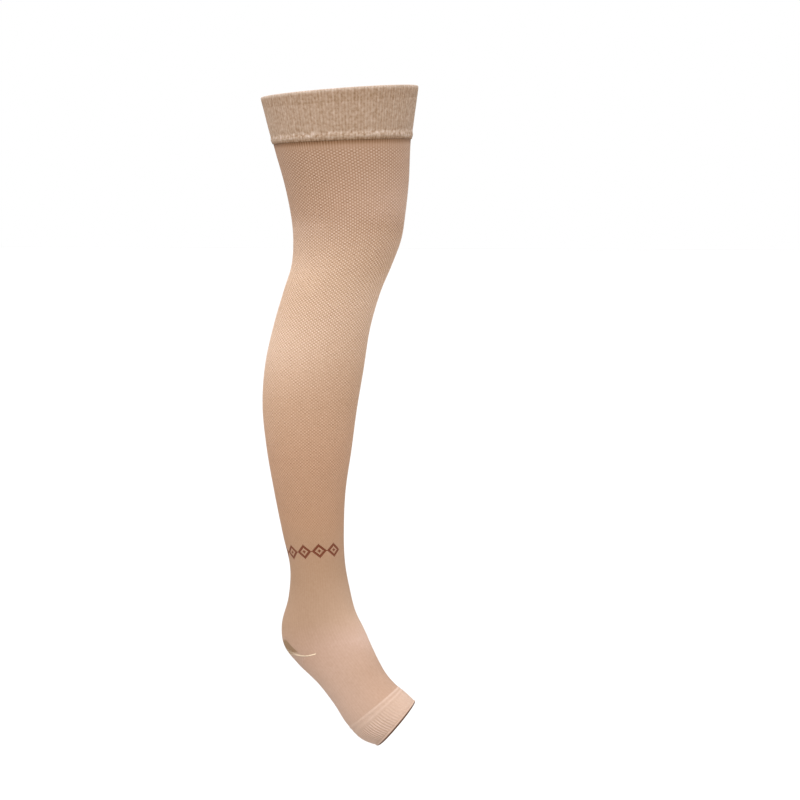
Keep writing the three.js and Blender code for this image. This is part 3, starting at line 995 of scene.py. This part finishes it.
class STOCKING_OT_toe_band(bpy.types.Operator):
    """Knits the toe band: two ridges at the joining edge, a ribbed part and a rolled hem"""

    bl_idname = "stocking.toe_band"
    bl_label = "Toe band"

    def execute(self, context):
        s = sizes()
        columns = 4 * s.wales
        turns = even_turns(columns)
        start = float(place_at(length_at(TOE_SEAM) + s.seam_gap / MM / 2))
        stretches = ((0, 0.3, 22), (0.32, 0.84, 16), (0.86, 0.995, 16))
        face = np.concatenate([np.linspace(*stretch) for stretch in stretches])
        inside = np.array([1.0, 0.995, 0.8, 0.6, 0.4, 0.2, 0.0])
        share = np.concatenate((face, inside))[:, None]
        height = self.face_height(share[: len(face)])
        inner = np.array([-0.45, -1, -1, -1, -1, -1, -1])[:, None] * s.cloth / MM
        ribs = smooth((face[:, None] - 0.24) / 0.08) * smooth((0.88 - face[:, None]) / 0.03)
        angle = TAU * turns[None, :columns]
        front = (0.5 + 0.5 * np.cos(angle)) ** 2
        wave = np.cos(s.wales * angle / 2) * (0.35 - 0.25 * front)
        out = np.concatenate((height + ribs * wave, np.repeat(inner, columns, 1)))
        place = np.broadcast_to(start + share * (TOE_EDGE - start), out.shape)
        piece = wall("toe_band_knit", place, out, turns, toe_knit(), flat_rows=(len(place) - 1,))
        dress(piece, "toe_band")
        return {"FINISHED"}

    @staticmethod
    def face_height(share):
        """Two ridges and a hem as bell curves on a low face, rounded off at the toe edge."""
        ridges = 0.35 * sum(np.exp(-(((share - middle) / 0.04) ** 2)) for middle in (0.06, 0.21))
        hem = 0.6 * np.exp(-(((share - 0.945) / 0.035) ** 2))
        groove = -0.2 * np.exp(-(((share - 0.875) / 0.015) ** 2))
        edge = -0.5 * smooth((share - 0.97) / 0.025)
        return 0.15 * smooth(share / 0.06) + ridges + hem + groove + edge


class STOCKING_OT_stage(bpy.types.Operator):
    """Sets the pale floor, the soft light and the camera"""

    bl_idname = "stocking.stage"
    bl_label = "Stage"

    def execute(self, context):
        stage = context.scene.stocking_stage
        self.right = Vector((math.cos(stage.azimuth), math.sin(stage.azimuth), 0))
        self.back = Vector((math.sin(stage.azimuth), -math.cos(stage.azimuth), 0))
        self.up = Vector((0, 0, 1))
        self.aim = stage.aim_right * self.right + stage.aim_height * self.up
        self.camera(context, stage)
        self.floor(context, stage)
        self.key_light(context, stage)
        self.sky(context, stage)
        context.scene.view_settings.view_transform = "Standard"
        return {"FINISHED"}

    def camera(self, context, stage):
        data = bpy.data.cameras.new("camera")
        data.sensor_width = 36
        data.lens = data.sensor_width * stage.distance / stage.view_width
        towards = self.back * math.cos(stage.elevation) + self.up * math.sin(stage.elevation)
        camera = bpy.data.objects.new("camera", data)
        camera.location = self.aim + stage.distance * towards
        camera.rotation_euler = towards.to_track_quat("Z", "Y").to_euler()
        context.scene.collection.objects.link(camera)
        context.scene.camera = camera

    def floor(self, context, stage):
        reach = 60
        mesh = bpy.data.meshes.new("floor")
        square = ((-1, -1), (1, -1), (1, 1), (-1, 1))
        corners = [(x * reach, y * reach, stage.floor_height) for x, y in square]
        mesh.from_pydata(corners, [], [(0, 1, 2, 3)])
        material, tree = new_material("matt white studio floor")
        grey = (0.54, 0.54, 0.54, 1)
        surface = add(tree, "ShaderNodeBsdfPrincipled", {"Base Color": grey, "Roughness": 0.9})
        add(tree, "ShaderNodeOutputMaterial", {"Surface": surface.outputs[0]})
        mesh.materials.append(material)
        floor = bpy.data.objects.new("floor", mesh)
        context.scene.collection.objects.link(floor)

    def key_light(self, context, stage):
        """A soft box high on the left of the camera."""
        data = bpy.data.lights.new("key", "AREA")
        data.energy = stage.key_power
        data.size = 2.5
        light = bpy.data.objects.new("key", data)
        light.location = self.aim + 3 * self.back - 0.9 * self.right + 2.6 * self.up
        light.rotation_euler = (light.location - self.aim).to_track_quat("Z", "Y").to_euler()
        context.scene.collection.objects.link(light)

    def sky(self, context, stage):
        """Plain white to the camera, and a light that grows evenly towards one direction."""
        world = bpy.data.worlds.new("soft studio")
        world.use_nodes = True
        tree = world.node_tree
        tree.nodes.clear()
        ray = add(tree, "ShaderNodeTexCoord").outputs["Generated"]
        slope = stage.sky_up * self.up + stage.sky_front * self.back - stage.sky_left * self.right
        growth = add(tree, "ShaderNodeVectorMath", {0: ray, 1: slope}, operation="DOT_PRODUCT")
        strength = calculate(tree, "ADD", growth.outputs["Value"], stage.sky)
        light = add(tree, "ShaderNodeBackground", {"Color": (1, 1, 1, 1), "Strength": strength})
        seen = add(tree, "ShaderNodeBackground", {"Color": (1, 1, 1, 1), "Strength": 1.0})
        to_camera = add(tree, "ShaderNodeLightPath").outputs["Is Camera Ray"]
        mixed = add(
            tree, "ShaderNodeMixShader", {0: to_camera, 1: light.outputs[0], 2: seen.outputs[0]}
        )
        add(tree, "ShaderNodeOutputWorld", {"Surface": mixed.outputs[0]})
        context.scene.world = world


class STOCKING_PT_panel(bpy.types.Panel):
    """Lists the pieces of the stocking and its stage"""

    bl_idname = "STOCKING_PT_panel"
    bl_label = "Compression stocking"
    bl_space_type = "VIEW_3D"
    bl_region_type = "UI"
    bl_category = "Stocking"

    def draw(self, context):
        for operator in OPERATORS:
            self.layout.operator(operator.bl_idname)
        for group_name in GROUPS:
            group = getattr(context.scene, group_name)
            box = self.layout.box()
            for name in group.bl_rna.properties.keys()[2:]:
                box.prop(group, name)


GROUPS = {
    "stocking_sizes": StockingSizes,
    "stocking_colours": StockingColours,
    "stocking_stage": StockingStage,
}
OPERATORS = (
    STOCKING_OT_stage,
    STOCKING_OT_thigh_band,
    STOCKING_OT_leg,
    STOCKING_OT_heel,
    STOCKING_OT_foot,
    STOCKING_OT_toe_band,
)


def register():
    for cls in (*GROUPS.values(), *OPERATORS, STOCKING_PT_panel):
        bpy.utils.register_class(cls)
    for name, group in GROUPS.items():
        setattr(bpy.types.Scene, name, PointerProperty(type=group))


def unregister():
    for name in GROUPS:
        delattr(bpy.types.Scene, name)
    for cls in reversed((*GROUPS.values(), *OPERATORS, STOCKING_PT_panel)):
        bpy.utils.unregister_class(cls)


def main():
    register()
    bpy.ops.stocking.stage()
    bpy.ops.stocking.thigh_band()
    bpy.ops.stocking.leg()
    bpy.ops.stocking.heel()
    bpy.ops.stocking.foot()
    bpy.ops.stocking.toe_band()


if __name__ == "__main__":
    main()
